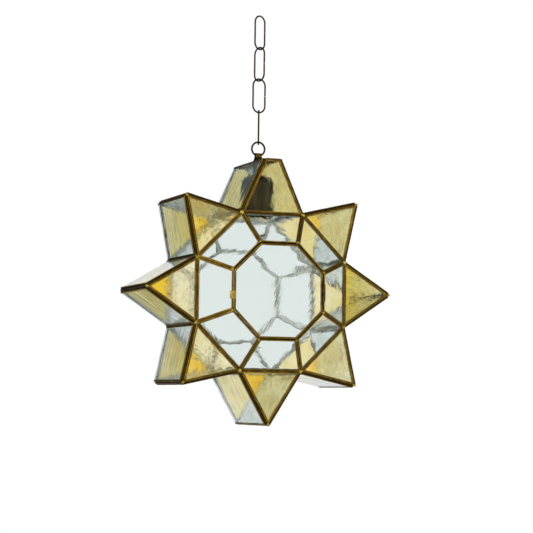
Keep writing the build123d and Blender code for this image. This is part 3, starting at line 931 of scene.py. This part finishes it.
def make_seams():
    """Dark solder run into every groove between two channels, with the bead that the door closes on, and
    bright fillets of solder along the same edges inside the lantern."""
    rear = FRONT_SEAT + CHANNEL
    lean = bevel_slope()
    beads, fillets = [], []
    for index in range(COUNT):
        seed = index * 7
        outline = point_outline(index)
        after = point_outline((index + 1) % COUNT)
        walls = []
        for first, second in ((outline[0], outline[1]), (outline[-2], outline[-1])):
            walls.append(normal_of(wall(first, second)))
            edge = at(first, -FRONT_SEAT), at(second, -FRONT_SEAT)
            beads.append(bead(*edge, [walls[-1], (0, -1, 0)], *FACE_BEAD, seed + 1))
        if index:
            tip = outline[1]
            beads.append(bead(at(tip, -FRONT_SEAT), at(tip, rear), walls, *TIP_BEAD, seed + 2))
        corner = star_corner(index + 0.5)
        meeting = [walls[1], normal_of(wall(after[0], after[1]))]
        bend = math.acos(max(-1.0, min(1.0, float(meeting[0] @ meeting[1]))))
        reach = CHANNEL / math.cos(bend / 2) - GROOVE_DEPTH
        valley = at(corner, -FRONT_SEAT), at(corner, rear)
        beads.append(bead(*valley, meeting, reach, VALLEY_BEAD_RADIUS, seed + 3))
        inside = at(corner, FILLET_END - FRONT_SEAT), at(corner, rear - FILLET_END)
        fillets.append(bead(*inside, meeting, *VALLEY_FILLET, seed + 33))
        reach = CHANNEL / math.cos(lean / 2) - GROOVE_DEPTH
        for side in (-1, 1):
            radial, _, face = star_axes(index, side)
            bevel = radial * math.sin(lean) + face * math.cos(lean)
            next_bevel = star_axes(index + 1, side)[0] * math.sin(lean) + face * math.cos(lean)
            base = [at(star_corner(index + end), side * FRONT_SEAT) for end in (-0.5, 0.5)]
            beads.append(bead(*base, [face, bevel], reach, BASE_BEAD_RADIUS, seed + 4 + side))
            fillets.append(bead(*base, [face, bevel], *BASE_FILLET, seed + 44 + side))
            ridge = at(corner, side * FRONT_SEAT), window_corner(index + 0.5, side * WINDOW_SEAT)
            beads.append(bead(*ridge, [bevel, next_bevel], *RIDGE_BEAD, seed + 60 + side))
            fillets.append(bead(*ridge, [bevel, next_bevel], *THIN_FILLET, seed + 70 + side))
            edge = [window_corner(index + end, side * WINDOW_SEAT) for end in (-0.5, 0.5)]
            if side > 0:
                beads.append(bead(*edge, [face, bevel], *WINDOW_BEAD, seed + 90))
                fillets.append(bead(*edge, [face, bevel], *THIN_FILLET, seed + 95))
            else:
                beads.append(bead(*edge, [-face, -face], *DOOR_REST, seed + 120))
    put_in_mesh("solder_seams", beads, "dark_solder", "lantern", sharp=180.0)
    put_in_mesh("inner_solder_fillets", fillets, "bright_solder", "lantern", sharp=180.0)


def make_solder():
    """Solder where the channels meet: in the valleys, at the corners of the windows and at the tips."""
    lumps = []
    for side in (-1, 1):
        for index in range(COUNT):
            seed = index + 20 * side
            axes = star_axes(index + 0.5, side)
            valley = at(star_corner(index + 0.5), side * FRONT_SEAT)
            lumps.append(lump(valley, *VALLEY_LUMP, axes, seed + 60))
            corner = window_corner(index + 0.5, side * WINDOW_SEAT)
            lumps.append(lump(corner, *WINDOW_LUMP, axes, seed + 90))
            if index:
                tip = at(point_outline(index)[1], side * FRONT_SEAT)
                lumps.append(lump(tip, *TIP_LUMP, star_axes(index, side), seed + 30))
    put_in_mesh("solder_joints", lumps, "patinated_solder", "lantern", sharp=180.0)


# ---------------------------------------------------------------- the whole lantern


def dress_kept_nodes():
    """Better materials for the nodes whose own shape stays."""
    finishes = {
        "rubbed_brass_sheet": ["door_catch", "lampholder_screw_shell", "lampholder_contact"],
        "brown_brass_strip": [
            "top_cap", "ring_strap", "nipple", "nipple_locknuts", "door_hinge_leaf", "fixed_hinge_leaf",
            "hinge_pin",
        ],
        "brown_brass_wire": ["hanging_ring"] + [f"chain_link_{n}" for n in (1, 2, 3, 4)],
        "black_bakelite": ["lampholder_cap", "lampholder_skirt"],
        "glazed_porcelain": ["lampholder_insert"],
        "zinc_plated_steel": ["terminal_screws"],
    }
    for material, names in finishes.items():
        for name in names:
            mesh = nodes[name].data
            mesh.materials.clear()
            mesh.materials.append(bpy.data.materials[material])


aim_camera()
white_room()
lay_floor()
add_lamp("key", (-2.2, -2.6, 1.2), 1.4, 60)
add_lamp("fill", (2.6, -1.8, 0.3), 1.8, 30)

channel_brass()
rubbed_brass()
dark_brass("brown_brass_strip", "2e2008", "5c4418", "8a6f36", 4.0)
dark_brass("brown_brass_wire", "1a130a", "332817", "5e4a26", 3.0)
solder("patinated_solder", "6a5516", "a58a34", "d0b564")
solder("dark_solder", "2c210a", "463512", "66501f")
solder("bright_solder", "a6a9a3", "e2e4df", "ffffff")
clear_glass("drawn_sheet_glass", "eef3f1", (0.16, 1, 1), 0.42, 3.2, 0.12, 0.0)
clear_glass("greenish_sheet_glass", "e8f0ee", (0.1, 1, 1), 0.0, 2.4, 0.08, 0.6)
amber_glass()
bakelite()
porcelain()
plated_steel()

make_points()
make_bevels()
make_windows()
make_seams()
make_solder()
dress_kept_nodes()

scene = bpy.context.scene
scene.view_settings.view_transform = "Standard"
# Light crosses up to a dozen panes, so paths need more bounces than usual
scene.cycles.max_bounces = 32
scene.cycles.transmission_bounces = 32
scene.cycles.glossy_bounces = 12
